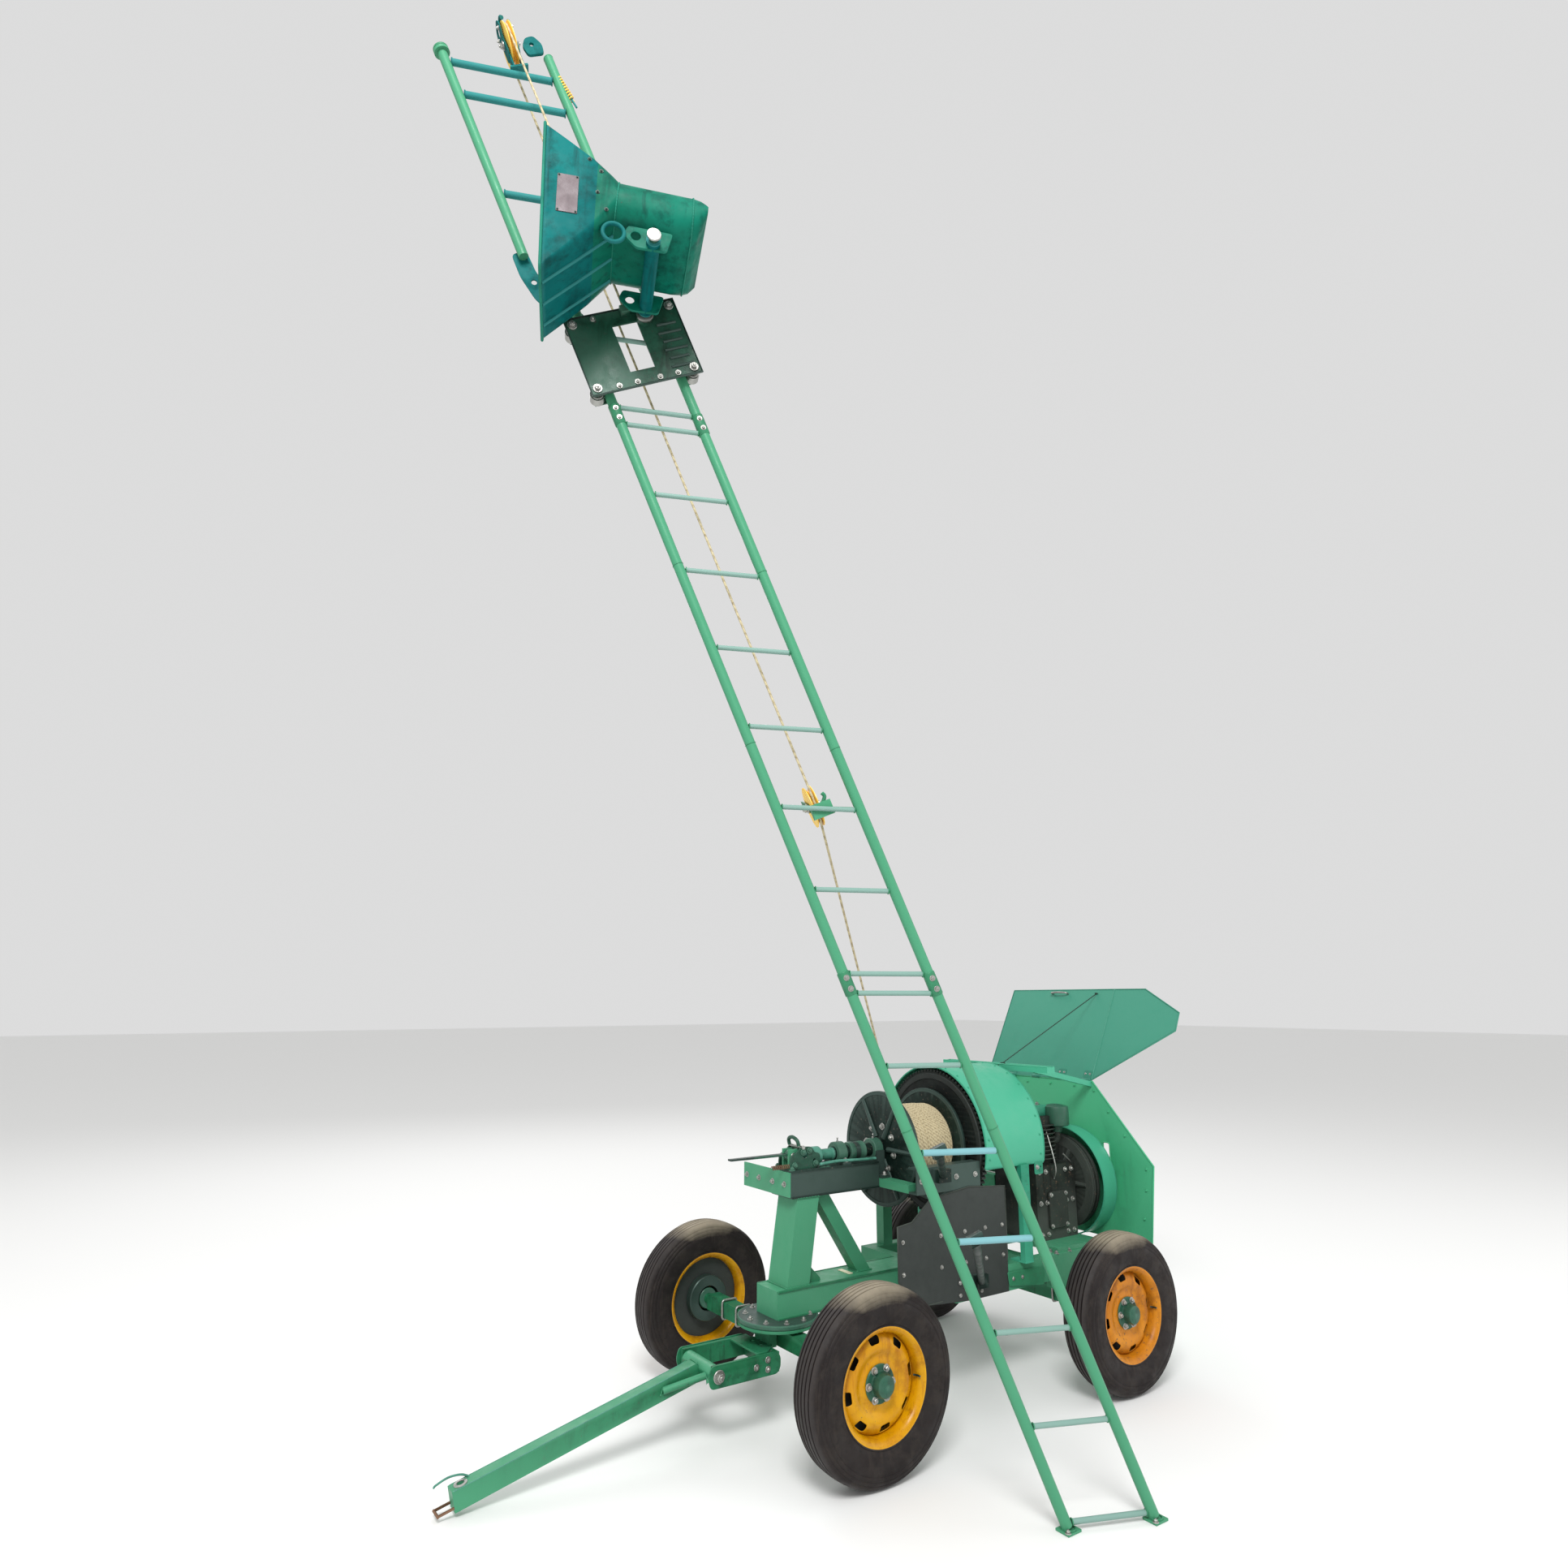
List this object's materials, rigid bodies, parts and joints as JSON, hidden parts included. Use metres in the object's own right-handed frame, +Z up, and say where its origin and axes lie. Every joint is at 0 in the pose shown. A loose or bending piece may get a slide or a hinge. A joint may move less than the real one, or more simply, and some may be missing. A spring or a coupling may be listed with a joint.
{
  "type": "ladder hoist",
  "caption": "Towable ladder hoist: a four-wheeled chassis with engine and rope winch, a leaning tube ladder, and a tipping bucket on a carriage.",
  "frame": {"origin": "centre of the overall bounding box on the ground", "axes": "+Z up, -X towards the drawbar, -Y towards the ladder side"},
  "size_m": [4.4214, 2.3042, 6.1041],
  "materials": {
    "green_paint": "weathered satin",
    "bucket_paint": "satin",
    "yellow_paint": "satin",
    "orange_paint": "satin",
    "dark_steel": "matt, oily",
    "tyre_rubber": "dusty",
    "bare_steel": "worn",
    "rope": "rough",
    "engine_cast": "oily"
  },
  "bodies": {
    "chassis": {"chassis_rails": "green_paint", "cross_members": "green_paint", "top_beams": "dark_steel", "chassis_spine": "dark_steel", "front_post": "green_paint", "post_brace": "green_paint", "rear_posts": "green_paint", "front_plate": "dark_steel", "rear_axle": "green_paint", "turntable_upper": "dark_steel", "drum_bearings": "dark_steel", "gear_guard": "green_paint", "lower_guard": "dark_steel", "engine_base": "green_paint", "engine_block": "engine_cast", "fuel_tank": "green_paint", "muffler": "engine_cast", "roof_frame": "green_paint", "rear_wall": "green_paint", "flywheel_guard": "green_paint", "ladder_stile_left": "green_paint", "ladder_stile_right": "green_paint", "ladder_rungs": "green_paint", "splice_collars": "green_paint", "ladder_feet": "green_paint", "upper_rail": "green_paint", "guide_plate": "dark_steel", "head_bars": "green_paint", "hoist_rope": "rope", "mid_bracket": "green_paint", "ladder_stays": "green_paint", "hood_string": "rope"},
    "front_bogie": {"front_axle": "green_paint", "turntable_lower": "dark_steel", "drawbar_fork": "green_paint"},
    "drawbar": {"drawbar": "green_paint", "tow_loop": "dark_steel"},
    "winch_drum": {"winch_drum": "green_paint", "rope_pack": "rope", "bull_gear": "dark_steel"},
    "carriage": {"carriage_frame": "dark_steel", "rope_fall": "rope"},
    "bucket": {"bucket": "bucket_paint"},
    "hood": {"hood": "green_paint"},
    "clutch_lever": {"clutch_lever": "dark_steel"},
    "flywheel": {"flywheel": "engine_cast"},
    "head_sheave": {"head_sheave": "orange_paint"},
    "mid_sheave": {"mid_sheave": "orange_paint"},
    "wheel_front_near": {"tyre_front_near": "tyre_rubber", "rim_front_near": "yellow_paint"},
    "wheel_front_far": {"tyre_front_far": "tyre_rubber", "rim_front_far": "yellow_paint"},
    "wheel_rear_near": {"tyre_rear_near": "tyre_rubber", "rim_rear_near": "yellow_paint"},
    "wheel_rear_far": {"tyre_rear_far": "tyre_rubber", "rim_rear_far": "yellow_paint"},
    "roller_upper_left": {"roller_upper_left": "bare_steel"},
    "roller_upper_right": {"roller_upper_right": "bare_steel"},
    "roller_lower_left": {"roller_lower_left": "bare_steel"},
    "roller_lower_right": {"roller_lower_right": "bare_steel"}
  },
  "joints": [
    {"name": "bogie_steer", "type": "hinge", "parent": "chassis", "child": "front_bogie", "pos_m": [-0.12919, 0.3671, 0.43], "axis": [0, 0, 1], "range_deg": [-25, 25]},
    {"name": "drawbar_lift", "type": "hinge", "parent": "front_bogie", "child": "drawbar", "pos_m": [-0.52919, 0.3671, 0.3], "axis": [0, 1, 0], "range_deg": [0, 75]},
    {"name": "spin_front_near", "type": "hinge", "parent": "front_bogie", "child": "wheel_front_near", "pos_m": [-0.12919, -0.3329, 0.365], "axis": [0, 1, 0], "continuous": true},
    {"name": "spin_front_far", "type": "hinge", "parent": "front_bogie", "child": "wheel_front_far", "pos_m": [-0.12919, 1.0671, 0.365], "axis": [0, 1, 0], "continuous": true},
    {"name": "spin_rear_near", "type": "hinge", "parent": "chassis", "child": "wheel_rear_near", "pos_m": [1.45081, -0.3329, 0.365], "axis": [0, 1, 0], "continuous": true},
    {"name": "spin_rear_far", "type": "hinge", "parent": "chassis", "child": "wheel_rear_far", "pos_m": [1.45081, 1.0671, 0.365], "axis": [0, 1, 0], "continuous": true},
    {"name": "drum_spin", "type": "hinge", "parent": "chassis", "child": "winch_drum", "pos_m": [0.67581, 0.3671, 1.12], "axis": [1, 0, 0], "range_deg": [0, 1116.3]},
    {"name": "carriage_slide", "type": "slide", "parent": "chassis", "child": "carriage", "axis": [0.3558, -0.1426, -0.9236], "range_m": [0, 4.0005], "deforming": ["rope_fall"]},
    {"name": "head_sheave_spin", "type": "hinge", "parent": "chassis", "child": "head_sheave", "pos_m": [-1.91733, -0.13537, 6.01706], "axis": [0.8573, -0.3436, 0.3833], "continuous": true},
    {"name": "mid_sheave_spin", "type": "hinge", "parent": "chassis", "child": "mid_sheave", "pos_m": [-0.55369, -0.52121, 2.65081], "axis": [-0.7919, 0.4789, -0.3789], "continuous": true},
    {"name": "spin_roller_upper_left", "type": "hinge", "parent": "carriage", "child": "roller_upper_left", "pos_m": [-1.60342, -0.26118, 4.59832], "axis": [0.372, 0.9282, 0], "continuous": true},
    {"name": "spin_roller_upper_right", "type": "hinge", "parent": "carriage", "child": "roller_upper_right", "pos_m": [-1.23798, -0.40764, 4.76172], "axis": [0.372, 0.9282, 0], "continuous": true},
    {"name": "spin_roller_lower_left", "type": "hinge", "parent": "carriage", "child": "roller_lower_left", "pos_m": [-1.49668, -0.30396, 4.32124], "axis": [0.372, 0.9282, 0], "continuous": true},
    {"name": "spin_roller_lower_right", "type": "hinge", "parent": "carriage", "child": "roller_lower_right", "pos_m": [-1.13123, -0.45043, 4.48463], "axis": [0.372, 0.9282, 0], "continuous": true},
    {"name": "bucket_tip", "type": "hinge", "parent": "carriage", "child": "bucket", "pos_m": [-1.44231, -0.64895, 4.67695], "axis": [0.372, 0.9282, 0], "range_deg": [0, 90]},
    {"name": "hood_fold", "type": "hinge", "parent": "chassis", "child": "hood", "pos_m": [1.93236, 0.3671, 1.40553], "axis": [0, -1, 0], "range_deg": [0, 104], "deforming": ["hood_string"]},
    {"name": "lever_swing", "type": "hinge", "parent": "chassis", "child": "clutch_lever", "pos_m": [-0.05919, 0.3671, 1.1333], "axis": [0, 1, 0], "range_deg": [0, 50]},
    {"name": "crank_spin", "type": "hinge", "parent": "chassis", "child": "flywheel", "pos_m": [1.83081, 0.3071, 0.85], "axis": [1, 0, 0], "continuous": true}
  ],
  "couplings": [
    {"joint": "carriage_slide", "follows": "drum_spin", "m_per_rad": 0.2053},
    {"joint": "head_sheave_spin", "follows": "drum_spin", "ratio": 2.7373},
    {"joint": "mid_sheave_spin", "follows": "drum_spin", "ratio": 2.7373},
    {"joint": "spin_roller_upper_left", "follows": "drum_spin", "ratio": -6.8433},
    {"joint": "spin_roller_upper_right", "follows": "drum_spin", "ratio": 6.8433},
    {"joint": "spin_roller_lower_left", "follows": "drum_spin", "ratio": -6.8433},
    {"joint": "spin_roller_lower_right", "follows": "drum_spin", "ratio": 6.8433}
  ]
}
